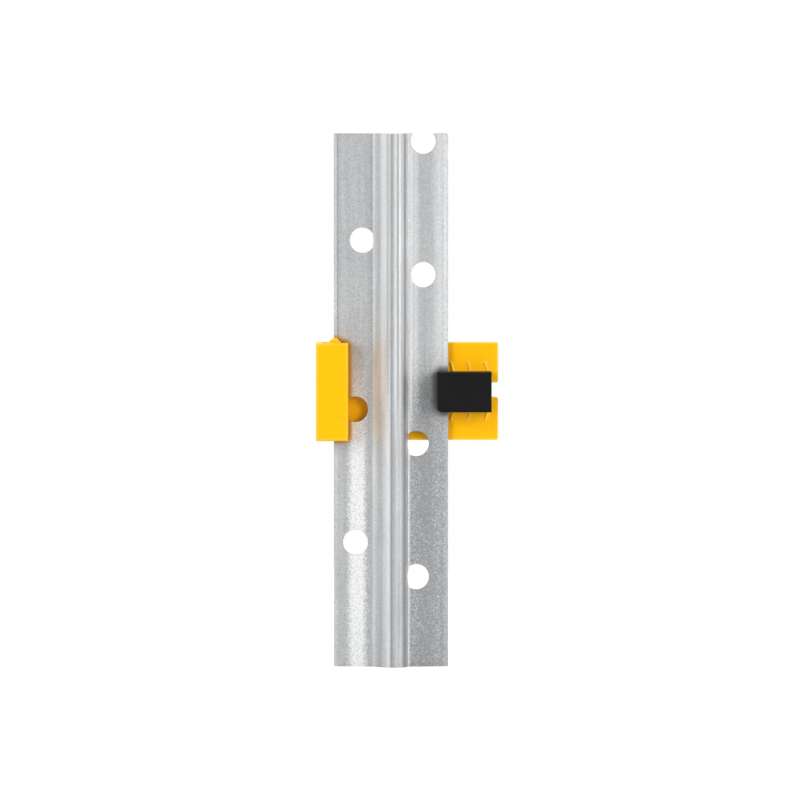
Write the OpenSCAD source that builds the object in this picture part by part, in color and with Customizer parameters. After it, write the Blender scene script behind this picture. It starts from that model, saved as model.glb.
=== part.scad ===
// Perforated steel post section with a clamp-on tape holder.
// X runs across the post, Y from the ridge side to the tape side, Z up the post.
// The origin is the middle of the post's foot, on the plane of the flanges' back edges.

/* [Post] */
// Length of the post section
post_len = 240; // [180:1:600]
// Width across both flanges
post_w = 51.4; // [44:0.1:80]
// Thickness of the steel sheet
sheet_t = 1.8; // [1.2:0.1:2.4]
// Angle by which each flange leans back towards its edge
flange_tilt = 5; // [2:0.5:8]
// Width of the stiffening strip along each edge
edge_w = 2; // [1:0.1:3]
// Angle by which the edge strip leans back
edge_tilt = 13; // [8:0.5:18]
// Distance from the middle to the ridge's left foot
ridge_left = 7.7; // [7:0.1:10]
// Distance from the middle to the ridge's right foot
ridge_right = 7.1; // [6.5:0.1:9]
// Slope of the ridge's left side
ridge_slope_left = 42; // [38:1:46]
// Slope of the ridge's right side
ridge_slope_right = 70; // [62:1:72]
// Radius of the ridge's crown, at the middle of the sheet
crown_r = 4.8; // [3:0.1:6]
// Radius of the bends at the ridge's feet, at the middle of the sheet
foot_r = 1.7; // [1.4:0.1:2.4]

/* [Holes] */
// Diameter of the punched holes
hole_d = 11.5; // [8:0.1:13.8]
// Pitch of the holes in a row
hole_pitch = 60; // [40:1:80]
// Height of the left row above the right row
hole_stagger = 15.5; // [12:0.5:24]
// Height of the lowest hole
hole_start = 40.5; // [20:0.5:60]
// Rise from the lower group's last right hole to the upper group's first
group_step = 76; // [60:1:90]
// Distance from the middle to the lower group's right row
row_right = 11.4; // [10.8:0.1:14]
// Distance from the middle to the lower group's left row
row_left = 16; // [15:0.1:18]
// Sideways shift of the upper group
group_shift = 3.1; // [0:0.1:4]

/* [Clip] */
// Height of the clip's middle above the foot
clip_z = 124; // [60:1:160]
// Height of the clip
clip_h = 44; // [36:1:60]
// Thickness of the back plate
plate_t = 4; // [3:0.1:5]
// Distance that the hook stands out past the left flange
hook_out = 8; // [7:0.1:12]
// Distance that the wing stands out past the right flange
wing_out = 22.5; // [20:0.1:30]
// Distance that the jaw reaches over the left flange
jaw_reach = 6.5; // [5:0.1:8]
// Distance from the back plate to the jaw's front face
jaw_front = 11.2; // [9:0.1:14]
// Wall thickness of the hook
hook_wall = 3; // [2:0.1:3.6]
// Thickness of the jaw's turned-in lip
lip_t = 2.4; // [1.6:0.1:2.6]
// Width of the grip rib outside the flange's edge
grip_out = 2.65; // [2:0.05:3.2]
// Distance that the grip rib reaches over the flange
grip_in = 3.4; // [2.5:0.1:3.8]
// Height of the grip rib past the top of the clip
grip_over = 2; // [1:0.1:3]
// Gap between the clip and the steel
steel_gap = 0.2; // [0.1:0.05:0.4]
// Radius of the plate's corners
corner_r = 1; // [0.5:0.1:3]

/* [Slider] */
// Length of the slider's head across the post
head_l = 24.4; // [22:0.1:28]
// Height of the slider's head
head_h = 18; // [14:0.5:22]
// Distance from the back plate to the head's front face
head_front = 12; // [9:0.1:15]
// Distance that the head reaches over the right flange
head_reach = 4.9; // [3:0.1:6]
// Corner radius of the head's lower inner corner
head_corner_r = 2.2; // [1:0.1:4]
// Width of the slot in the wing
slot_w = 6.6; // [5:0.1:9]
// Height of the slot's middle above the clip's middle
slot_rise = 0.6; // [0:0.1:2]
// Length of the slot
slot_l = 34; // [28:0.5:40]
// Length of the neck in the slot
neck_l = 16; // [10:0.5:18]
// Play of the neck in the slot, on each side
slot_play = 0.3; // [0.15:0.05:0.5]
// Gap between the slider and the faces it slides on
slide_gap = 0.2; // [0.1:0.05:0.4]
// Thickness of the slider's back flange
back_t = 2.4; // [2:0.1:4]
// Height of the slider's thumb ribs
thumb_h = 0.8; // [0.4:0.1:1.2]
// Number of click ridges on the wing
ridge_n = 3; // [2:1:3]
// Pitch of the click ridges
ridge_pitch = 7.7; // [6:0.1:9]
// Height of a click ridge
ridge_h = 0.7; // [0.3:0.1:0.8]
// Height of the click ridges across the slot
ridge_span = 26; // [20:1:32]
// Radius that the click ridges bow to
ridge_bow = 40; // [30:1:60]

/* [Tape holder] */
// Width of the tape seat
seat_w = 40; // [34:1:46]
// Distance from the back plate to the tape seat's face
seat_out = 10; // [8:0.5:16]
// Wall thickness of the stand-off and the seat
seat_wall = 3; // [2:0.1:4]
// Thickness of the shelves above and below the tape
shelf_t = 2; // [1.6:0.1:3]
// Depth of the gap that the tape runs in
tape_gap = 5.6; // [5:0.1:8]
// Height of the tape ribs on the seat
tape_rib_h = 0.6; // [0.3:0.1:0.9]
// Number of tape ribs
tape_rib_n = 3; // [2:1:5]
// Thickness of the gate
gate_t = 3; // [2.4:0.1:4]
// Width of each of the gate's bars
gate_bar = 6; // [4:0.1:7]
// Height of the gate's top bar
gate_top = 4; // [3:0.1:6]
// Diameter of the hinge pin
pin_d = 3; // [2:0.1:3.6]
// Outer radius of the hinge barrel
barrel_r = 3.2; // [3:0.1:3.6]
// Width of each hinge ear
ear_w = 5; // [4:0.1:6]
// Gap between the gate and the ears and shelves
gate_gap = 0.4; // [0.3:0.05:0.6]
// Radial running clearance on the hinge pin
pin_play = 0.05; // [0.02:0.01:0.08]
// Diameter of the hinge pin's head
pin_head_d = 5; // [4:0.1:6]
// Thickness of the hinge pin's head
pin_head_t = 1.2; // [0.8:0.1:2]

/* [Hidden] */
$fn = 64;
eps = 0.01;
steel_colour = [0.72, 0.73, 0.74];
yellow = [0.98, 0.74, 0.05];
black = [0.09, 0.09, 0.1];
bend_steps = 9;

// Post section. Heights here are measured towards -Y, at the middle of the sheet.
half_w = post_w / 2;
edge_lean = sheet_t / 2 * sin(edge_tilt);
edge_mid = sheet_t / 2 * cos(edge_tilt);
strip_rise = (edge_w - edge_lean) * tan(edge_tilt);
// Height of the flange's middle and front faces at a distance d from the post's middle
function flange_mid(d) = edge_mid + strip_rise + (half_w - edge_w - d) * tan(flange_tilt);
function flange_front(d) = flange_mid(d) + sheet_t / 2 / cos(flange_tilt);
foot_left = [-ridge_left, flange_mid(ridge_left)];
foot_right = [ridge_right, flange_mid(ridge_right)];
tan_left = tan(ridge_slope_left);
tan_right = tan(ridge_slope_right);
apex_x = (foot_right[1] - foot_left[1] + ridge_right * tan_right - ridge_left * tan_left)
    / (tan_left + tan_right);
apex = [apex_x, foot_left[1] + (apex_x + ridge_left) * tan_left];

// Clip. Everything on it is placed from the flanges' edges and the back plate.
plate_y = steel_gap;
plate_back = plate_y + plate_t;
clip_left = -half_w - hook_out;
clip_right = half_w + wing_out;
clip_low = clip_z - clip_h / 2;
clip_high = clip_z + clip_h / 2;
jaw_y = plate_y - jaw_front;
jaw_right = -half_w + jaw_reach;
slot_left = clip_right - slot_l;
slot_z = clip_z + slot_rise;

// Slider
head_left = half_w - head_reach;
head_right = head_left + head_l;
head_y = plate_y - head_front;
foot_x = half_w + 2 * slide_gap;
foot_y = plate_y - ridge_h - slide_gap;
hook_y = -flange_front(head_left) - slide_gap;
neck_left = foot_x + 1;
neck_right = neck_left + neck_l;
first_ridge_x = half_w + 1.3;

// Tape holder
seat_y = plate_back + seat_out;
gate_y = seat_y + tape_gap;
hinge_y = gate_y + gate_t + 1;
hinge_z = clip_low + barrel_r + gate_gap;
shelf_y = gate_y + gate_t - 1;
barrel_w = seat_w - 2 * ear_w - 2 * gate_gap;
gate_high = clip_high - shelf_t - gate_gap;
lug_w = 12;
lug_t = 2;

function unit(v) = v / norm(v);
function dot(a, b) = a[0] * b[0] + a[1] * b[1];
function cross_z(a, b) = a[0] * b[1] - a[1] * b[0];
function left_of(v) = [-v[1], v[0]];
function turned(v, a) = [v[0] * cos(a) - v[1] * sin(a), v[0] * sin(a) + v[1] * cos(a)];

// [point, left normal] pairs round a bend of radius r at corner b of the path a, b, c
function bend(a, b, c, r) =
    let (
        d_in = unit(b - a),
        d_out = unit(c - b),
        side = cross_z(d_in, d_out) > 0 ? 1 : -1,
        turn = side * acos(dot(d_in, d_out)),
        start = b - d_in * r * tan(abs(turn) / 2),
        centre = start + left_of(d_in) * side * r
    )
    [for (i = [0:bend_steps])
        let (n = turned(left_of(d_in), turn * i / bend_steps))
        [centre - n * side * r, n]];

// The sheet's middle line from the left edge to the right edge, with its normals
function sheet_line() =
    let (
        edge_l = [-half_w + edge_lean, edge_mid],
        strip_l = [-half_w + edge_w, flange_mid(half_w - edge_w)],
        strip_r = [half_w - edge_w, flange_mid(half_w - edge_w)],
        edge_r = [half_w - edge_lean, edge_mid]
    )
    concat(
        [[edge_l, left_of(unit(strip_l - edge_l))]],
        bend(edge_l, strip_l, foot_left, foot_r),
        bend(strip_l, foot_left, apex, foot_r),
        bend(foot_left, apex, foot_right, crown_r),
        bend(apex, foot_right, strip_r, foot_r),
        bend(foot_right, strip_r, edge_r, foot_r),
        [[edge_r, left_of(unit(edge_r - strip_r))]]
    );

module sheet_section() {
    line = sheet_line();
    n = len(line);
    front = [for (p = line) p[0] + p[1] * sheet_t / 2];
    back = [for (i = [0:n - 1]) line[n - 1 - i][0] - line[n - 1 - i][1] * sheet_t / 2];
    mirror([0, 1]) polygon(concat(front, back));
}

// A hole punched square to the right flange, d across from the middle and z up the post
module flange_hole(d, z) {
    translate([d, -flange_mid(d), z]) rotate([90, 0, flange_tilt])
        cylinder(d = hole_d, h = 4 * sheet_t, center = true);
}

// The flange's side of the plane that halves the bend at a ridge foot, with the ridge's slope
module flange_side(z, foot, slope) {
    reach = 3 * hole_d;
    translate([foot, -flange_mid(foot), z]) rotate([0, 0, (flange_tilt + slope) / 2])
        translate([0, -reach, -hole_d]) cube([reach, 2 * reach, 2 * hole_d]);
}

// The part of a hole, punched in the flat sheet, that the bend folds up the ridge
module folded_hole(d, z, foot, slope) {
    past = (d - foot) / cos(flange_tilt);
    translate([foot, -flange_mid(foot), z]) rotate([0, 0, slope])
        translate([past, 0, 0]) rotate([90, 0, 0])
            cylinder(d = hole_d, h = 1.6 * sheet_t, center = true);
}

// A hole is cut on its flange and, where it crosses the bend, on the ridge
module punched_hole(d, z, foot, slope) {
    intersection() {
        flange_hole(d, z);
        flange_side(z, foot, slope);
    }
    if (d - foot < hole_d / 2) folded_hole(d, z, foot, slope);
}

module post() {
    group_z = [hole_start, hole_start + hole_pitch + group_step];
    color(steel_colour) difference() {
        linear_extrude(height = post_len) sheet_section();
        for (g = [0, 1], i = [0, 1]) {
            z = group_z[g] + i * hole_pitch;
            punched_hole(row_right + g * group_shift, z, ridge_right, ridge_slope_right);
            if (z + hole_stagger + hole_d < post_len) mirror([1, 0, 0])
                punched_hole(row_left - g * group_shift, z + hole_stagger, ridge_left, ridge_slope_left);
        }
    }
}

// A plate in the XZ plane with round corners, from y to y + t
module rounded_plate(x0, x1, z0, z1, y, t, r) {
    translate([0, y + t, 0]) rotate([90, 0, 0]) linear_extrude(height = t) {
        translate([x0 + r, z0]) square([x1 - x0 - 2 * r, z1 - z0]);
        translate([x0, z0 + r]) square([x1 - x0, z1 - z0 - 2 * r]);
        for (x = [x0 + r, x1 - r], z = [z0 + r, z1 - r]) translate([x, z]) circle(r = r);
    }
}

module box(x0, x1, y0, y1, z0, z1) {
    translate([x0, y0, z0]) cube([x1 - x0, y1 - y0, z1 - z0]);
}

module hook() {
    box(clip_left, clip_left + hook_wall, jaw_y, plate_y + eps, clip_low, clip_high);
    box(clip_left, jaw_right, jaw_y, jaw_y + hook_wall, clip_low, clip_high);
    box(jaw_right - lip_t, jaw_right, jaw_y, -flange_front(-jaw_right) - steel_gap, clip_low, clip_high);
    grip_rib();
}

// The rib that backs and grips the left flange's edge, with a hump past the top of the clip
module grip_rib() {
    rib_left = -half_w - grip_out;
    rib_right = -half_w + grip_in;
    pocket_y = -flange_front(-rib_right) - steel_gap;
    high = clip_high + grip_over;
    difference() {
        translate([0, plate_y, 0]) rotate([90, 0, 0])
            linear_extrude(height = jaw_front - hook_wall)
                polygon([
                    [rib_left, clip_low], [rib_right, clip_low],
                    [rib_right, clip_high], [rib_right - grip_over, high],
                    [rib_left + grip_over, high], [rib_left, clip_high]
                ]);
        box(-half_w - steel_gap, half_w, pocket_y, plate_y, clip_low - 1, high + 1);
    }
}

// Round click ridges that bow away from the post, above and below the slot
module click_ridges() {
    half_span = asin(ridge_span / 2 / ridge_bow);
    for (i = [0:ridge_n - 1])
        translate([first_ridge_x + i * ridge_pitch - ridge_bow * cos(half_span), plate_y, clip_z])
            rotate([90, half_span, 0]) rotate_extrude(angle = 2 * half_span)
                translate([ridge_bow, 0]) circle(r = ridge_h);
}

module slot() {
    box(slot_left + slot_w / 2, clip_right + 1, plate_y - 1, plate_back + 1,
        slot_z - slot_w / 2, slot_z + slot_w / 2);
    translate([slot_left + slot_w / 2, plate_back + 1, slot_z]) rotate([90, 0, 0])
        cylinder(d = slot_w, h = plate_t + 2);
}

// Box-section stand-off with a middle web, and the seat that the tape lies against
module stand_off() {
    for (x = [-seat_w / 2, -seat_wall / 2, seat_w / 2 - seat_wall])
        box(x, x + seat_wall, plate_back - eps, seat_y - eps, clip_low, clip_high);
    box(-seat_w / 2, seat_w / 2, seat_y - seat_wall, seat_y, clip_low, clip_high);
    rib_pitch = (clip_h - 2 * shelf_t) / (tape_rib_n + 1);
    for (i = [1:tape_rib_n])
        translate([-seat_w / 2 + ear_w, seat_y, clip_low + shelf_t + i * rib_pitch])
            rotate([0, 90, 0]) cylinder(r = tape_rib_h, h = seat_w - 2 * ear_w);
}

module shelves() {
    box(-seat_w / 2, seat_w / 2, seat_y - eps, shelf_y, clip_high - shelf_t, clip_high);
    box(-seat_w / 2, seat_w / 2, seat_y - eps, gate_y, clip_low, clip_low + shelf_t);
    for (x = [-seat_w / 2, seat_w / 2 - ear_w]) {
        box(x, x + ear_w, gate_y - eps, hinge_y, clip_low, clip_low + shelf_t);
        translate([x, hinge_y, hinge_z]) rotate([0, 90, 0])
            cylinder(r = hinge_z - clip_low, h = ear_w);
        box(x, x + ear_w, hinge_y - barrel_r, hinge_y, clip_low, hinge_z);
    }
}

module clip_body() {
    color(yellow) difference() {
        union() {
            rounded_plate(clip_left, clip_right, clip_low, clip_high, plate_y, plate_t, corner_r);
            hook();
            click_ridges();
            stand_off();
            shelves();
        }
        slot();
        translate([-seat_w / 2 - 1, hinge_y, hinge_z]) rotate([0, 90, 0])
            cylinder(r = pin_d / 2 + pin_play, h = seat_w + 2);
    }
}

module slider_head() {
    low = clip_z - head_h / 2;
    high = clip_z + head_h / 2;
    difference() {
        box(head_left, head_right, head_y, foot_y, low, high);
        box(head_left - 1, foot_x, hook_y, plate_y, low - 1, high + 1);
        difference() {
            box(head_left - 1, head_left + head_corner_r, head_y - 1, plate_y, low - 1, low + head_corner_r);
            translate([head_left + head_corner_r, plate_y + 1, low + head_corner_r])
                rotate([90, 0, 0]) cylinder(r = head_corner_r, h = head_front + 3);
        }
    }
}

module slider() {
    neck_z = slot_w / 2 - slot_play;
    back_y = plate_back + slide_gap;
    color(black) {
        slider_head();
        box(neck_left, neck_right, foot_y - eps, back_y + eps, slot_z - neck_z, slot_z + neck_z);
        rounded_plate(neck_left - 2, head_right, clip_z - head_h / 2, clip_z + head_h / 2,
            back_y, back_t, corner_r);
        for (i = [0:3])
            box(neck_left + 1 + i * neck_l / 4, neck_left + 2 + i * neck_l / 4,
                back_y + back_t - eps, back_y + back_t + thumb_h,
                clip_z - head_h / 2 + 2, clip_z + head_h / 2 - 2);
    }
}

module gate() {
    half = barrel_w / 2;
    color(yellow) difference() {
        union() {
            translate([-half, hinge_y, hinge_z]) rotate([0, 90, 0])
                cylinder(r = barrel_r, h = barrel_w);
            for (x = [-half, half - gate_bar])
                box(x, x + gate_bar, gate_y, gate_y + gate_t, hinge_z, gate_high);
            box(-half, half, gate_y, gate_y + gate_t, gate_high - gate_top, gate_high);
            box(-lug_w / 2, lug_w / 2, shelf_y + gate_gap, shelf_y + gate_gap + lug_t,
                gate_high - gate_top, clip_high);
        }
        translate([-half - 1, hinge_y, hinge_z]) rotate([0, 90, 0])
            cylinder(r = pin_d / 2 + pin_play, h = barrel_w + 2);
    }
}

module hinge_pin() {
    color(steel_colour) translate([-seat_w / 2 - pin_head_t, hinge_y, hinge_z]) rotate([0, 90, 0]) {
        cylinder(d = pin_d, h = seat_w + pin_head_t + 1);
        cylinder(d = pin_head_d, h = pin_head_t);
    }
}

post();
clip_body();
slider();
gate();
hinge_pin();
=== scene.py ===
import bpy
import bmesh
import math
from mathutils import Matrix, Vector


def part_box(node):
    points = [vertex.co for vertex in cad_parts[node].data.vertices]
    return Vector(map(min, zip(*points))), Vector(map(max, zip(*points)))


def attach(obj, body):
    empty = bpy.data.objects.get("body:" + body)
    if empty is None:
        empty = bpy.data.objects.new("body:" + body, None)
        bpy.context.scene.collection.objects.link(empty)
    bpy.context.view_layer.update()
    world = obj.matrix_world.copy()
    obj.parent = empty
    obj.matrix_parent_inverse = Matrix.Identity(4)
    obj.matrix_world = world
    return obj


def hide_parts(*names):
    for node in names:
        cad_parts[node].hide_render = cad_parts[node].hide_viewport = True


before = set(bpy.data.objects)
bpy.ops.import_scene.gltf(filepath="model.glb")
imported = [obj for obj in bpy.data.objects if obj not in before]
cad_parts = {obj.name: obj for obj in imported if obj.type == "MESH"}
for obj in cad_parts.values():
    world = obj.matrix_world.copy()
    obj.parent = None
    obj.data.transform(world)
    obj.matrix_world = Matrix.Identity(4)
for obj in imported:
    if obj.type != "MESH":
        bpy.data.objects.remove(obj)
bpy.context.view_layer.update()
mm = 0.001

# distances at which mesh points are doubles, and angles in degrees
meshCare = {"double": 0.002 * mm, "flat": 0.3, "sharp": 40, "smooth": 32}


# picking and shaping, used by every piece

def makeActive(piece):
    bpy.ops.object.select_all(action="DESELECT")
    piece.select_set(True)
    bpy.context.view_layer.objects.active = piece


def copyOfNode(node, name, mergeGap):
    # a clean copy of a CAD node: doubles merged, flat triangles joined into faces
    piece = bpy.data.objects.new(name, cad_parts[node].data.copy())
    bpy.context.scene.collection.objects.link(piece)
    makeActive(piece)
    bpy.ops.mesh.customdata_custom_splitnormals_clear()
    bpy.ops.object.mode_set(mode="EDIT")
    bpy.ops.mesh.select_all(action="SELECT")
    bpy.ops.mesh.remove_doubles(threshold=meshCare["double"])
    bpy.ops.mesh.dissolve_limited(angle_limit=math.radians(meshCare["flat"]))
    bpy.ops.mesh.select_all(action="SELECT")
    bpy.ops.mesh.remove_doubles(threshold=mergeGap)
    bpy.ops.mesh.dissolve_degenerate(threshold=meshCare["double"])
    bpy.ops.object.mode_set(mode="OBJECT")
    return piece


def selectSharpEdges(piece, test):
    # selects the sharp edges whose middle and length pass the test, and counts them
    makeActive(piece)
    bpy.ops.object.mode_set(mode="EDIT")
    bpy.ops.mesh.select_mode(type="EDGE")
    bpy.ops.mesh.select_all(action="DESELECT")
    mesh = bmesh.from_edit_mesh(piece.data)
    count = 0
    for edge in mesh.edges:
        if len(edge.link_faces) != 2 or edge.calc_face_angle() < math.radians(meshCare["sharp"]):
            continue
        middle = (edge.verts[0].co + edge.verts[1].co) / 2
        if test(middle, edge.calc_length()):
            edge.select_set(True)
            count += 1
    bmesh.update_edit_mesh(piece.data)
    return count


def roundEdges(piece, width, segments, test=lambda middle, length: True):
    count = selectSharpEdges(piece, test)
    if count:
        bpy.ops.mesh.bevel(offset=width, segments=segments, profile=0.5, affect="EDGES", clamp_overlap=True)
    bpy.ops.object.mode_set(mode="OBJECT")
    print("   rounded", count, "edges of", piece.name)


def smoothShading(piece):
    makeActive(piece)
    bpy.ops.object.shade_smooth_by_angle(angle=math.radians(meshCare["smooth"]), keep_sharp_edges=False)
    weighted = piece.modifiers.new("faceNormals", "WEIGHTED_NORMAL")
    weighted.keep_sharp = True
    bpy.ops.object.modifier_apply(modifier=weighted.name)


def finishPiece(piece, body, node, material):
    smoothShading(piece)
    piece.data.materials.clear()
    piece.data.materials.append(material)
    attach(piece, body)
    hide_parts(node)


# shared effects: each is a node group, built once

def newGroup(name, inputs, outputs):
    group = bpy.data.node_groups.new(name, "ShaderNodeTree")
    for socketName, socketType, value in inputs:
        socket = group.interface.new_socket(socketName, in_out="INPUT", socket_type=socketType)
        if value is not None:
            socket.default_value = value
    for socketName, socketType in outputs:
        group.interface.new_socket(socketName, in_out="OUTPUT", socket_type=socketType)
    return group, group.nodes.new("NodeGroupInput"), group.nodes.new("NodeGroupOutput")


def addNode(tree, kind, settings=None, values=None, wires=None):
    # a node with its settings, its input values and the sockets that feed it
    node = tree.nodes.new(kind)
    for key, value in (settings or {}).items():
        setattr(node, key, value)
    for key, value in (values or {}).items():
        node.inputs[key].default_value = value
    for key, source in (wires or {}).items():
        tree.links.new(source, node.inputs[key])
    return node


def math2(tree, operation, first, second, clamp=False):
    node = addNode(tree, "ShaderNodeMath", {"operation": operation, "use_clamp": clamp})
    for index, value in enumerate((first, second)):
        if isinstance(value, (int, float)):
            node.inputs[index].default_value = value
        else:
            tree.links.new(value, node.inputs[index])
    return node.outputs["Value"]


def colourMix(tree, first, second, share):
    node = addNode(tree, "ShaderNodeMix", {"data_type": "RGBA"})
    # the colour sockets of a Mix node are 6 and 7, and its colour output is 2
    for index, value in ((0, share), (6, first), (7, second)):
        if isinstance(value, tuple):
            node.inputs[index].default_value = (*value, 1)
        elif isinstance(value, (int, float)):
            node.inputs[index].default_value = value
        else:
            tree.links.new(value, node.inputs[index])
    return node.outputs[2]


def makeGrainGroup():
    # fine speckle: 0 to 1 round a half, with a height for bump
    group, start, end = newGroup("fineGrain", [
        ("Vector", "NodeSocketVector", None), ("Scale", "NodeSocketFloat", 1500.0),
        ("Contrast", "NodeSocketFloat", 1.0)], [("Mask", "NodeSocketFloat"), ("Height", "NodeSocketFloat")])
    small = addNode(group, "ShaderNodeTexNoise", None, {"Detail": 3.0, "Roughness": 0.65},
                    {"Vector": start.outputs["Vector"], "Scale": start.outputs["Scale"]})
    centred = math2(group, "SUBTRACT", small.outputs["Fac"], 0.5)
    stretched = math2(group, "MULTIPLY", centred, start.outputs["Contrast"])
    mask = math2(group, "ADD", stretched, 0.5, clamp=True)
    group.links.new(mask, end.inputs["Mask"])
    group.links.new(small.outputs["Fac"], end.inputs["Height"])
    return group


edgeShape = {"gapScale": 700.0, "cornerReach": 1.5 * mm, "cornerFrom": 0.72, "cornerTo": 0.92}


def makeEdgeGroup():
    # 1 on an outer edge, 0 on a flat face or in a corner, broken up by a little noise
    group, start, end = newGroup("outerEdgeMask", [
        ("Vector", "NodeSocketVector", None), ("Radius", "NodeSocketFloat", 0.4 * mm),
        ("Strength", "NodeSocketFloat", 4.0), ("Break Up", "NodeSocketFloat", 0.5)],
        [("Mask", "NodeSocketFloat")])
    soft = addNode(group, "ShaderNodeBevel", {"samples": 4}, None, {"Radius": start.outputs["Radius"]})
    shape = addNode(group, "ShaderNodeNewGeometry")
    dot = addNode(group, "ShaderNodeVectorMath", {"operation": "DOT_PRODUCT"}, None,
                  {0: soft.outputs["Normal"], 1: shape.outputs["Normal"]})
    turned = math2(group, "SUBTRACT", 1.0, dot.outputs["Value"])
    edge = math2(group, "MULTIPLY", turned, start.outputs["Strength"], clamp=True)
    noise = addNode(group, "ShaderNodeTexNoise", None, {"Scale": edgeShape["gapScale"], "Detail": 2.0},
                    {"Vector": start.outputs["Vector"]})
    gap = math2(group, "MULTIPLY", noise.outputs["Fac"], start.outputs["Break Up"])
    mask = math2(group, "SUBTRACT", edge, gap, clamp=True)
    openness = addNode(group, "ShaderNodeAmbientOcclusion", {"samples": 6, "only_local": True},
                       {"Distance": edgeShape["cornerReach"]})
    outer = addNode(group, "ShaderNodeMapRange", None,
                    {"From Min": edgeShape["cornerFrom"], "From Max": edgeShape["cornerTo"]},
                    {"Value": openness.outputs["AO"]})
    mask = math2(group, "MULTIPLY", mask, outer.outputs["Result"])
    group.links.new(mask, end.inputs["Mask"])
    return group


smudgeShape = {"fineTimes": 14.0, "gain": 2.0}


def makeSmudgeGroup():
    # broad handling marks: slow patches with a few long faint rubs
    group, start, end = newGroup("handlingMarks", [
        ("Vector", "NodeSocketVector", None), ("Scale", "NodeSocketFloat", 60.0),
        ("Rub", "NodeSocketVector", (1.0, 1.0, 0.08))], [("Mask", "NodeSocketFloat")])
    patch = addNode(group, "ShaderNodeTexNoise", None, {"Detail": 3.0},
                    {"Vector": start.outputs["Vector"], "Scale": start.outputs["Scale"]})
    along = addNode(group, "ShaderNodeVectorMath", {"operation": "MULTIPLY"}, None,
                    {0: start.outputs["Vector"], 1: start.outputs["Rub"]})
    fine = math2(group, "MULTIPLY", start.outputs["Scale"], smudgeShape["fineTimes"])
    rub = addNode(group, "ShaderNodeTexNoise", None, {"Detail": 2.0},
                  {"Vector": along.outputs["Vector"], "Scale": fine})
    mask = math2(group, "MULTIPLY", patch.outputs["Fac"], rub.outputs["Fac"])
    spread = math2(group, "MULTIPLY", mask, smudgeShape["gain"], clamp=True)
    group.links.new(spread, end.inputs["Mask"])
    return group


def makeStripeGroup():
    # a soft line up the post at one place across it: 1 in its middle, 0 past its half width
    group, start, end = newGroup("lineAlongPost", [
        ("Across", "NodeSocketFloat", 0.0), ("Place", "NodeSocketFloat", 0.0),
        ("Half Width", "NodeSocketFloat", 1.0 * mm)], [("Mask", "NodeSocketFloat")])
    offset = math2(group, "SUBTRACT", start.outputs["Across"], start.outputs["Place"])
    away = math2(group, "ABSOLUTE", offset, 0)
    share = math2(group, "DIVIDE", away, start.outputs["Half Width"])
    ramp = addNode(group, "ShaderNodeMapRange", {"interpolation_type": "SMOOTHSTEP"},
                   {"From Min": 1.0, "From Max": 0.0, "To Min": 0.0, "To Max": 1.0}, {"Value": share})
    group.links.new(ramp.outputs["Result"], end.inputs["Mask"])
    return group


grainGroup = makeGrainGroup()
edgeGroup = makeEdgeGroup()
smudgeGroup = makeSmudgeGroup()
stripeGroup = makeStripeGroup()


def useGroup(tree, group, values=None, wires=None):
    return addNode(tree, "ShaderNodeGroup", {"node_tree": group}, values, wires)


def newMaterial(name, metal, specular=0.5):
    material = bpy.data.materials.new(name)
    material.use_nodes = True
    shader = material.node_tree.nodes["Principled BSDF"]
    shader.inputs["Metallic"].default_value = metal
    shader.inputs["Specular IOR Level"].default_value = specular
    coordinates = material.node_tree.nodes.new("ShaderNodeTexCoord")
    return material, material.node_tree, shader, coordinates.outputs["Object"]


steelLook = {
    "dark": (0.34, 0.347, 0.355), "light": (0.97, 0.975, 0.98), "middle": 0.29, "brightest": 0.88,
    "roughLow": 0.54, "roughHigh": 0.66, "ridgePolish": 0.07,
    "grainScale": 3000.0, "grainContrast": 3.0, "grain": 0.30,
    "spangleScale": 1900.0, "spangle": 0.18, "spangleHeight": 0.4,
    "streakScale": 700.0, "streakStretch": (1.0, 1.0, 0.025), "streak": 0.20,
    "smudgeScale": 45.0, "smudge": 0.12, "ridgeGrain": 0.5, "coarseGain": 1.5,
    "bumpStrength": 0.3, "bumpDepth": 0.04 * mm,
    # cut edges: their colour, how far a face has turned from the front, and the share
    "cut": (0.30, 0.30, 0.305), "cutFrom": 0.28, "cutTo": 0.14, "cutShare": 0.9,
    "rimWidth": 0.5 * mm, "rimStrength": 6.0, "rimBreakUp": 0.3, "rimShare": 0.75, "rimWithin": 24.0 * mm,
    # shade where another piece is close: its reach and colour, left and right of the middle
    "contactReachLeft": 2.3 * mm, "contactReachRight": 3.5 * mm, "contactGain": 3.2,
    "contactLeft": (0.52, 0.30, 0.02), "contactRight": (0.16, 0.16, 0.16), "floorReach": 12.0 * mm,
    # the smooth ridge and the coarse bands: place across the post and half width, in mm
    "ridge": (-0.5, 10.5), "coarseLow": (-15.0, 6.5), "coarseLowRight": (16.0, 10.0), "bandEdge": 3.0,
    # painted highlights and painted reflections above the clip, bright and dark lines where the bent steel
    # would reflect light and dark: place across the post and half width in mm, and gain
    "paintedReflectionLinesHigh": [
        (-24.0, 0.6, -0.30), (-8.5, 1.2, -0.12), (-5.8, 2.2, -0.22), (-1.4, 1.0, -0.45),
        (0.0, 1.0, -0.25), (1.8, 0.9, 1.00), (3.2, 0.8, -0.45), (4.7, 0.8, -0.22),
        (6.3, 0.9, -0.45), (9.0, 1.0, 1.10), (10.8, 2.8, 0.34), (22.0, 4.6, 0.26),
    ],
    # the same painted lines below the clip, and the heights in mm between which one set changes to the
    # other
    "paintedReflectionLinesLow": [
        (-15.2, 5.2, 1.00), (-5.0, 2.8, -0.20), (-1.2, 0.7, -0.05), (0.1, 0.9, -0.38),
        (2.0, 0.8, 0.10), (3.6, 1.0, -0.25), (4.8, 0.9, -0.22), (6.0, 1.1, -0.36),
        (8.3, 0.8, 0.26), (16.0, 10.5, -0.34), (24.0, 4.0, -0.15),
    ],
    "changeFrom": 92.0, "changeTo": 150.0,
}


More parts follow.
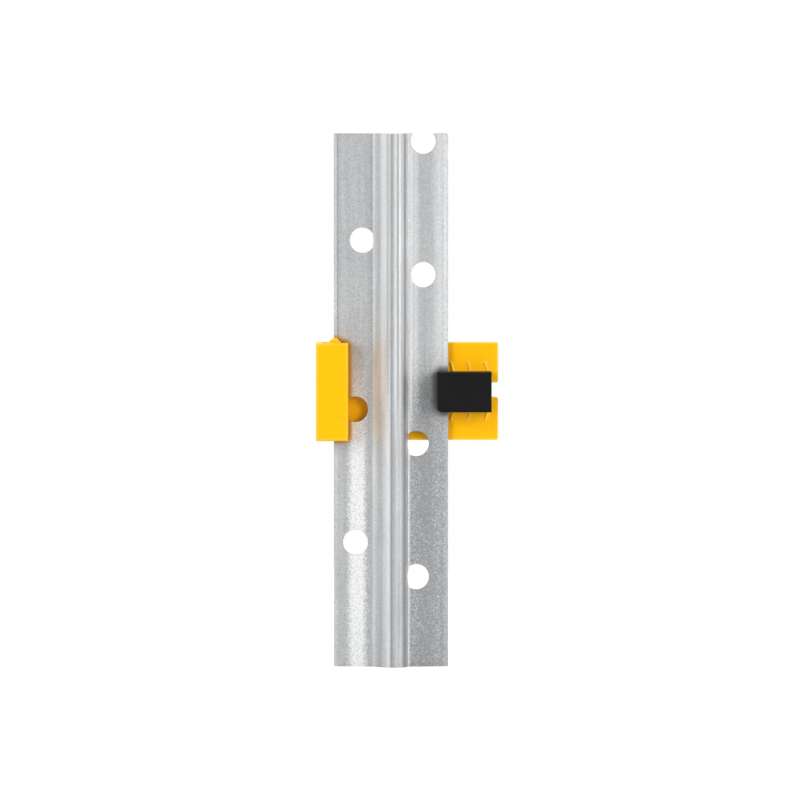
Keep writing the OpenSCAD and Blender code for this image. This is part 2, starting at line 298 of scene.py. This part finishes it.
def makeGalvanised():
    material, tree, shader, place = newMaterial("galvanisedSteel", 1.0)
    split = addNode(tree, "ShaderNodeSeparateXYZ", None, None, {"Vector": place})
    across, up = split.outputs["X"], split.outputs["Z"]

    def lineAlongPost(where, halfWidth):
        line = useGroup(tree, stripeGroup, {"Place": where * mm, "Half Width": halfWidth * mm},
                        {"Across": across})
        return line.outputs["Mask"]

    def band(name):
        where, halfWidth = steelLook[name]
        line = lineAlongPost(where, halfWidth)
        return math2(tree, "MULTIPLY", line, steelLook["bandEdge"], clamp=True)

    high = addNode(tree, "ShaderNodeMapRange", {"interpolation_type": "SMOOTHSTEP"},
                   {"From Min": steelLook["changeFrom"] * mm, "From Max": steelLook["changeTo"] * mm},
                   {"Value": up}).outputs["Result"]
    low = math2(tree, "SUBTRACT", 1.0, high)
    ridge = band("ridge")

    # how strong the grain is: faint on the ridge, coarse in the two lower bands, where the stronger speckle
    # is grain and also a painted sparkle of highlight
    coarse = math2(tree, "MULTIPLY", math2(tree, "ADD", band("coarseLow"), band("coarseLowRight")), low)
    quiet = math2(tree, "SUBTRACT", 1.0, math2(tree, "MULTIPLY", ridge, 1.0 - steelLook["ridgeGrain"]))
    coarse = math2(tree, "MULTIPLY", coarse, steelLook["coarseGain"])
    grainPower = math2(tree, "MULTIPLY", math2(tree, "ADD", coarse, 1.0), quiet)
    grain = useGroup(tree, grainGroup,
                     {"Scale": steelLook["grainScale"], "Contrast": steelLook["grainContrast"]},
                     {"Vector": place})
    spangle = addNode(tree, "ShaderNodeTexVoronoi", None,
                      {"Scale": steelLook["spangleScale"], "Randomness": 1.0}, {"Vector": place})
    cell = addNode(tree, "ShaderNodeSeparateColor", None, None, {"Color": spangle.outputs["Color"]})
    longWay = addNode(tree, "ShaderNodeVectorMath", {"operation": "MULTIPLY"},
                      {1: steelLook["streakStretch"]}, {0: place})
    streak = addNode(tree, "ShaderNodeTexNoise", None,
                     {"Scale": steelLook["streakScale"], "Detail": 3.0},
                     {"Vector": longWay.outputs["Vector"]})
    smudge = useGroup(tree, smudgeGroup, {"Scale": steelLook["smudgeScale"]}, {"Vector": place})

    def centred(socket, gain):
        return math2(tree, "MULTIPLY", math2(tree, "SUBTRACT", socket, 0.5), gain)

    speckle = math2(tree, "ADD", centred(grain.outputs["Mask"], steelLook["grain"]),
                    centred(cell.outputs["Red"], steelLook["spangle"]))
    level = math2(tree, "ADD", steelLook["middle"], centred(streak.outputs["Fac"], steelLook["streak"]))
    level = math2(tree, "ADD", level, centred(smudge.outputs["Mask"], steelLook["smudge"]))
    # painted highlights and reflections: the bright and dark lines go into the steel's colour, one set
    # above the clip and one below
    for lines, where in ((steelLook["paintedReflectionLinesHigh"], high), (steelLook["paintedReflectionLinesLow"], low)):
        total = None
        for x, halfWidth, gain in lines:
            part = math2(tree, "MULTIPLY", lineAlongPost(x, halfWidth), gain)
            total = part if total is None else math2(tree, "ADD", total, part)
        level = math2(tree, "ADD", level, math2(tree, "MULTIPLY", total, where))
    level = math2(tree, "MINIMUM", level, steelLook["brightest"])
    level = math2(tree, "ADD", level, math2(tree, "MULTIPLY", speckle, grainPower), clamp=True)
    base = colourMix(tree, steelLook["dark"], steelLook["light"], level)

    # punched and sheared edges are bare, darker steel
    shape = addNode(tree, "ShaderNodeNewGeometry")
    facing = addNode(tree, "ShaderNodeSeparateXYZ", None, None, {"Vector": shape.outputs["True Normal"]})
    forward = math2(tree, "ABSOLUTE", facing.outputs["Y"], 0)
    cut = addNode(tree, "ShaderNodeMapRange", None,
                  {"From Min": steelLook["cutFrom"], "From Max": steelLook["cutTo"]}, {"Value": forward})
    cutShare = math2(tree, "MULTIPLY", cut.outputs["Result"], steelLook["cutShare"])
    base = colourMix(tree, base, steelLook["cut"], cutShare)
    inside = math2(tree, "LESS_THAN", math2(tree, "ABSOLUTE", across, 0), steelLook["rimWithin"])
    rim = useGroup(tree, edgeGroup,
                   {"Radius": steelLook["rimWidth"], "Strength": steelLook["rimStrength"],
                    "Break Up": steelLook["rimBreakUp"]}, {"Vector": place})
    rimShare = math2(tree, "MULTIPLY", inside, steelLook["rimShare"])
    rimShare = math2(tree, "MULTIPLY", rim.outputs["Mask"], rimShare)
    base = colourMix(tree, base, steelLook["cut"], rimShare)

    # shade where another piece stands close to the steel, at any pose, but not near the floor
    rightSide = math2(tree, "GREATER_THAN", across, 0.0)
    reach = addNode(tree, "ShaderNodeMapRange", None,
                    {"To Min": steelLook["contactReachLeft"], "To Max": steelLook["contactReachRight"]},
                    {"Value": rightSide}).outputs["Result"]
    nearAll = addNode(tree, "ShaderNodeAmbientOcclusion", {"samples": 8}, None, {"Distance": reach})
    nearOwn = addNode(tree, "ShaderNodeAmbientOcclusion", {"samples": 8, "only_local": True}, None,
                      {"Distance": reach})
    offFloor = addNode(tree, "ShaderNodeMapRange", None,
                       {"From Min": steelLook["floorReach"] / 2, "From Max": steelLook["floorReach"]},
                       {"Value": up})
    contact = math2(tree, "SUBTRACT", nearOwn.outputs["AO"], nearAll.outputs["AO"])
    contact = math2(tree, "MULTIPLY", contact, steelLook["contactGain"], clamp=True)
    contact = math2(tree, "MULTIPLY", contact, offFloor.outputs["Result"])
    shade = colourMix(tree, steelLook["contactLeft"], steelLook["contactRight"], rightSide)
    base = colourMix(tree, base, shade, contact)
    tree.links.new(base, shader.inputs["Base Color"])

    rough = addNode(tree, "ShaderNodeMapRange", None,
                    {"To Min": steelLook["roughHigh"], "To Max": steelLook["roughLow"]}, {"Value": level})
    polish = math2(tree, "MULTIPLY", ridge, steelLook["ridgePolish"])
    rough = math2(tree, "SUBTRACT", rough.outputs["Result"], polish)
    tree.links.new(rough, shader.inputs["Roughness"])
    height = math2(tree, "MULTIPLY", spangle.outputs["Distance"], steelLook["spangleHeight"])
    height = math2(tree, "ADD", grain.outputs["Height"], height)
    height = math2(tree, "MULTIPLY", height, grainPower)
    bump = addNode(tree, "ShaderNodeBump", None,
                   {"Strength": steelLook["bumpStrength"], "Distance": steelLook["bumpDepth"]},
                   {"Height": height})
    tree.links.new(bump.outputs["Normal"], shader.inputs["Normal"])
    return material


# the edge colour is a painted highlight: a lighter, paler yellow on the rounded outer edges
yellowLook = {
    "base": (0.94, 0.475, 0.0005), "deep": (0.91, 0.40, 0.0), "edge": (1.0, 0.70, 0.12),
    "specular": 0.18, "roughLow": 0.30, "roughHigh": 0.46, "flowScale": 38.0, "flowRub": (0.3, 1.0, 1.0),
    "deepShare": 0.5, "edgeWidth": 1.7 * mm, "edgeStrength": 7.0, "edgeBreakUp": 0.08, "edgeShare": 0.65,
    "grainScale": 2600.0, "grainContrast": 1.2, "bumpStrength": 0.1, "bumpDepth": 0.01 * mm,
}


def makeYellow():
    material, tree, shader, place = newMaterial("yellowPlastic", 0.0, yellowLook["specular"])
    flow = useGroup(tree, smudgeGroup, {"Scale": yellowLook["flowScale"], "Rub": yellowLook["flowRub"]},
                    {"Vector": place})
    grain = useGroup(tree, grainGroup,
                     {"Scale": yellowLook["grainScale"], "Contrast": yellowLook["grainContrast"]},
                     {"Vector": place})
    edge = useGroup(tree, edgeGroup,
                    {"Radius": yellowLook["edgeWidth"], "Strength": yellowLook["edgeStrength"],
                     "Break Up": yellowLook["edgeBreakUp"]}, {"Vector": place})
    deepShare = math2(tree, "MULTIPLY", flow.outputs["Mask"], yellowLook["deepShare"])
    base = colourMix(tree, yellowLook["base"], yellowLook["deep"], deepShare)
    # painted highlight: the outer edges get the lighter, paler edge colour, as where light catches them
    edgeShare = math2(tree, "MULTIPLY", edge.outputs["Mask"], yellowLook["edgeShare"])
    base = colourMix(tree, base, yellowLook["edge"], edgeShare)
    tree.links.new(base, shader.inputs["Base Color"])
    rough = addNode(tree, "ShaderNodeMapRange", None,
                    {"To Min": yellowLook["roughLow"], "To Max": yellowLook["roughHigh"]},
                    {"Value": flow.outputs["Mask"]})
    tree.links.new(rough.outputs["Result"], shader.inputs["Roughness"])
    bump = addNode(tree, "ShaderNodeBump", None,
                   {"Strength": yellowLook["bumpStrength"], "Distance": yellowLook["bumpDepth"]},
                   {"Height": grain.outputs["Height"]})
    tree.links.new(bump.outputs["Normal"], shader.inputs["Normal"])
    return material


blackLook = {
    "base": (0.0045, 0.0045, 0.005), "worn": (0.03, 0.03, 0.031), "specular": 0.12,
    "roughLow": 0.46, "roughHigh": 0.64, "smudgeScale": 90.0, "smudgeRub": (0.1, 1.0, 1.0),
    "speckShare": 0.14, "edgeWidth": 0.35 * mm, "edgeStrength": 3.0, "edgeBreakUp": 0.5, "edgeShare": 0.4,
    "grainScale": 2400.0, "grainContrast": 1.6, "bumpStrength": 0.3, "bumpDepth": 0.04 * mm,
}


def makeBlack():
    material, tree, shader, place = newMaterial("blackPlastic", 0.0, blackLook["specular"])
    grain = useGroup(tree, grainGroup,
                     {"Scale": blackLook["grainScale"], "Contrast": blackLook["grainContrast"]},
                     {"Vector": place})
    smudge = useGroup(tree, smudgeGroup, {"Scale": blackLook["smudgeScale"], "Rub": blackLook["smudgeRub"]},
                      {"Vector": place})
    edge = useGroup(tree, edgeGroup,
                    {"Radius": blackLook["edgeWidth"], "Strength": blackLook["edgeStrength"],
                     "Break Up": blackLook["edgeBreakUp"]}, {"Vector": place})
    speckShare = math2(tree, "MULTIPLY", grain.outputs["Mask"], blackLook["speckShare"])
    speck = colourMix(tree, blackLook["base"], blackLook["worn"], speckShare)
    edgeShare = math2(tree, "MULTIPLY", edge.outputs["Mask"], blackLook["edgeShare"])
    base = colourMix(tree, speck, blackLook["worn"], edgeShare)
    tree.links.new(base, shader.inputs["Base Color"])
    rough = addNode(tree, "ShaderNodeMapRange", None,
                    {"To Min": blackLook["roughLow"], "To Max": blackLook["roughHigh"]},
                    {"Value": smudge.outputs["Mask"]})
    tree.links.new(rough.outputs["Result"], shader.inputs["Roughness"])
    bump = addNode(tree, "ShaderNodeBump", None,
                   {"Strength": blackLook["bumpStrength"], "Distance": blackLook["bumpDepth"]},
                   {"Height": grain.outputs["Height"]})
    tree.links.new(bump.outputs["Normal"], shader.inputs["Normal"])
    return material


pinLook = {
    "dark": (0.42, 0.42, 0.43), "light": (0.68, 0.68, 0.69), "edge": (0.8, 0.8, 0.8),
    "roughLow": 0.2, "roughHigh": 0.36, "grainScale": 2600.0, "grainContrast": 1.4,
    "lineScale": 4500.0, "lineStretch": (0.03, 1.0, 1.0),
    "edgeWidth": 0.3 * mm, "edgeStrength": 3.0, "edgeBreakUp": 0.4, "edgeShare": 0.5,
    "bumpStrength": 0.2, "bumpDepth": 0.02 * mm,
}


def makePinMetal():
    # drawn wire: fine lines along the pin
    material, tree, shader, place = newMaterial("pinSteel", 1.0)
    grain = useGroup(tree, grainGroup,
                     {"Scale": pinLook["grainScale"], "Contrast": pinLook["grainContrast"]},
                     {"Vector": place})
    along = addNode(tree, "ShaderNodeVectorMath", {"operation": "MULTIPLY"},
                    {1: pinLook["lineStretch"]}, {0: place})
    lines = addNode(tree, "ShaderNodeTexNoise", None, {"Scale": pinLook["lineScale"], "Detail": 2.0},
                    {"Vector": along.outputs["Vector"]})
    edge = useGroup(tree, edgeGroup,
                    {"Radius": pinLook["edgeWidth"], "Strength": pinLook["edgeStrength"],
                     "Break Up": pinLook["edgeBreakUp"]}, {"Vector": place})
    tone = math2(tree, "ADD", lines.outputs["Fac"], grain.outputs["Mask"])
    tone = math2(tree, "MULTIPLY", tone, 0.5)    # the mean of the two
    base = colourMix(tree, pinLook["dark"], pinLook["light"], tone)
    edgeShare = math2(tree, "MULTIPLY", edge.outputs["Mask"], pinLook["edgeShare"])
    base = colourMix(tree, base, pinLook["edge"], edgeShare)
    tree.links.new(base, shader.inputs["Base Color"])
    rough = addNode(tree, "ShaderNodeMapRange", None,
                    {"To Min": pinLook["roughLow"], "To Max": pinLook["roughHigh"]}, {"Value": tone})
    tree.links.new(rough.outputs["Result"], shader.inputs["Roughness"])
    bump = addNode(tree, "ShaderNodeBump", None,
                   {"Strength": pinLook["bumpStrength"], "Distance": pinLook["bumpDepth"]},
                   {"Height": lines.outputs["Fac"]})
    tree.links.new(bump.outputs["Normal"], shader.inputs["Normal"])
    return material


galvanised = makeGalvanised()
yellow = makeYellow()
black = makeBlack()
pinMetal = makePinMetal()
print("materials ready")


postLook = {"mergeGap": 0.04 * mm, "rimRound": 0.3 * mm, "rimSteps": 3}


def makePost():
    post = copyOfNode("post", "steel_post", postLook["mergeGap"])
    roundEdges(post, postLook["rimRound"], postLook["rimSteps"])
    finishPiece(post, "post", "post", galvanised)


clipLook = {
    "mergeGap": 0.03 * mm, "jawRound": 1.1 * mm, "jawSteps": 5, "mouthRound": 1.0 * mm, "mouthSteps": 4,
    "edgeRound": 0.5 * mm, "edgeSteps": 3, "shortest": 1.5 * mm, "mouthReach": 5 * mm, "onFace": 0.05 * mm,
}


def makeClip():
    clip = copyOfNode("clip_body", "clip_moulding", clipLook["mergeGap"])
    low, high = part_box("clip_body")
    slotMiddle = sum(point[2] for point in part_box("slider")) / 2

    def onJawFace(middle, length):
        return middle.y < low[1] + clipLook["onFace"] and length > clipLook["shortest"]

    def atSlotMouth(middle, length):
        atEnd = middle.x > high[0] - clipLook["onFace"]
        nearSlot = abs(middle.z - slotMiddle) < clipLook["mouthReach"]
        return atEnd and nearSlot and length < clipLook["mouthReach"]

    def longEnough(middle, length):
        return length > clipLook["shortest"]

    roundEdges(clip, clipLook["mouthRound"], clipLook["mouthSteps"], atSlotMouth)
    roundEdges(clip, clipLook["jawRound"], clipLook["jawSteps"], onJawFace)
    roundEdges(clip, clipLook["edgeRound"], clipLook["edgeSteps"], longEnough)
    finishPiece(clip, "clip", "clip_body", yellow)


sliderLook = {"mergeGap": 0.03 * mm, "edgeRound": 0.3 * mm, "edgeSteps": 3}


def makeSlider():
    slider = copyOfNode("slider", "slider_lock", sliderLook["mergeGap"])
    roundEdges(slider, sliderLook["edgeRound"], sliderLook["edgeSteps"])
    finishPiece(slider, "slider", "slider", black)


gateLook = {"mergeGap": 0.03 * mm, "edgeRound": 0.4 * mm, "edgeSteps": 3, "shortest": 1 * mm}


def makeGate():
    gate = copyOfNode("gate", "tape_gate", gateLook["mergeGap"])

    def longEnough(middle, length):
        return length > gateLook["shortest"]

    roundEdges(gate, gateLook["edgeRound"], gateLook["edgeSteps"], longEnough)
    finishPiece(gate, "gate", "gate", yellow)


pinShape = {"mergeGap": 0.03 * mm, "edgeRound": 0.35 * mm, "edgeSteps": 3}


def makePin():
    pin = copyOfNode("hinge_pin", "gate_pin", pinShape["mergeGap"])
    roundEdges(pin, pinShape["edgeRound"], pinShape["edgeSteps"])
    finishPiece(pin, "clip", "hinge_pin", pinMetal)


makePost()
makeClip()
makeSlider()
makeGate()
makePin()
print("pieces ready")

floorLook = {"radius": 0.6, "corners": 128, "tone": 0.6, "rough": 0.9, "specular": 0.1, "glow": 0.4}


def makeFloor():
    bpy.ops.mesh.primitive_circle_add(vertices=floorLook["corners"], radius=floorLook["radius"],
                                      fill_type="NGON")
    floor = bpy.context.object
    floor.name = "floor"
    paint, tree, shader, place = newMaterial("floorPaint", 0.0, floorLook["specular"])
    shader.inputs["Base Color"].default_value = (floorLook["tone"],) * 3 + (1,)
    shader.inputs["Roughness"].default_value = floorLook["rough"]
    shader.inputs["Emission Color"].default_value = (1, 1, 1, 1)
    path = addNode(tree, "ShaderNodeLightPath")
    glow = math2(tree, "MULTIPLY", path.outputs["Is Camera Ray"], floorLook["glow"])
    tree.links.new(glow, shader.inputs["Emission Strength"])
    floor.data.materials.append(paint)


# brightness from the front round to the back, each with its place on the ramp, and overhead
worldLook = {
    "first": 0.18, "ramp": [(0.12, 0.18), (0.45, 0.7), (0.7, 1.5)],
    "sky": 0.7, "skyFrom": 0.2, "skyTo": 0.9,
}


def makeWorld():
    # dark in front, bright at the sides and behind, and plain white to the camera
    world = bpy.data.worlds.new("studio")
    bpy.context.scene.world = world
    world.use_nodes = True
    tree = world.node_tree
    coordinates = addNode(tree, "ShaderNodeTexCoord")
    split = addNode(tree, "ShaderNodeSeparateXYZ", None, None, {"Vector": coordinates.outputs["Generated"]})
    behind = addNode(tree, "ShaderNodeMapRange", None, {"From Min": -1.0, "From Max": 1.0},
                     {"Value": split.outputs["Y"]})
    around = addNode(tree, "ShaderNodeValToRGB", None, None, {"Fac": behind.outputs["Result"]})
    ramp = around.color_ramp
    ramp.elements.remove(ramp.elements[1])
    ramp.elements[0].position = 0.0
    ramp.elements[0].color = (worldLook["first"],) * 3 + (1,)
    for position, level in worldLook["ramp"]:
        ramp.elements.new(position).color = (level,) * 3 + (1,)
    above = addNode(tree, "ShaderNodeMapRange", None,
                    {"From Min": worldLook["skyFrom"], "From Max": worldLook["skyTo"]},
                    {"Value": split.outputs["Z"]})
    glow = colourMix(tree, around.outputs["Color"], (worldLook["sky"],) * 3, above.outputs["Result"])
    path = addNode(tree, "ShaderNodeLightPath")
    seen = colourMix(tree, glow, (1.0, 1.0, 1.0), path.outputs["Is Camera Ray"])
    tree.links.new(seen, tree.nodes["Background"].inputs["Color"])


# lamps: degrees round from the front, height, distance, size and power
lamps = {
    "keyLight": (-52, 0.4, 1.0, (0.5, 0.7), 7.0),
    "fillLight": (50, 0.35, 1.0, (0.5, 0.7), 7.0),
    "topLight": (180, 1.3, 0.2, (0.8, 0.8), 5.0),
}
lampAim = (0, 0, 0.12)


def addSoftbox(name, azimuth, height, distance, size, power):
    light = bpy.data.objects.new(name, bpy.data.lights.new(name, "AREA"))
    bpy.context.scene.collection.objects.link(light)
    light.data.shape = "RECTANGLE"
    light.data.size, light.data.size_y = size
    light.data.energy = power
    turn = math.radians(azimuth)
    light.location = Vector((math.sin(turn), -math.cos(turn), 0)) * distance + Vector((0, 0, height))
    towards = Vector(lampAim) - light.location
    light.rotation_euler = towards.to_track_quat("-Z", "Y").to_euler()


makeFloor()
makeWorld()
for lampName, lamp in lamps.items():
    addSoftbox(lampName, *lamp)
print("stage and light ready")

view = {"lens": 400, "sensor": 36, "elevation": 3.0, "distance": 4.0, "target": (4.05 * mm, 0, 120.0 * mm)}

camera = bpy.data.objects.new("camera", bpy.data.cameras.new("camera"))
bpy.context.scene.collection.objects.link(camera)
camera.data.lens = view["lens"]
camera.data.sensor_width = view["sensor"]
elevation = math.radians(view["elevation"])
back = Vector((0, -math.cos(elevation), math.sin(elevation)))
camera.location = Vector(view["target"]) + back * view["distance"]
camera.rotation_euler = (-back).to_track_quat("-Z", "Y").to_euler()
bpy.context.scene.camera = camera
bpy.context.scene.view_settings.view_transform = "Standard"
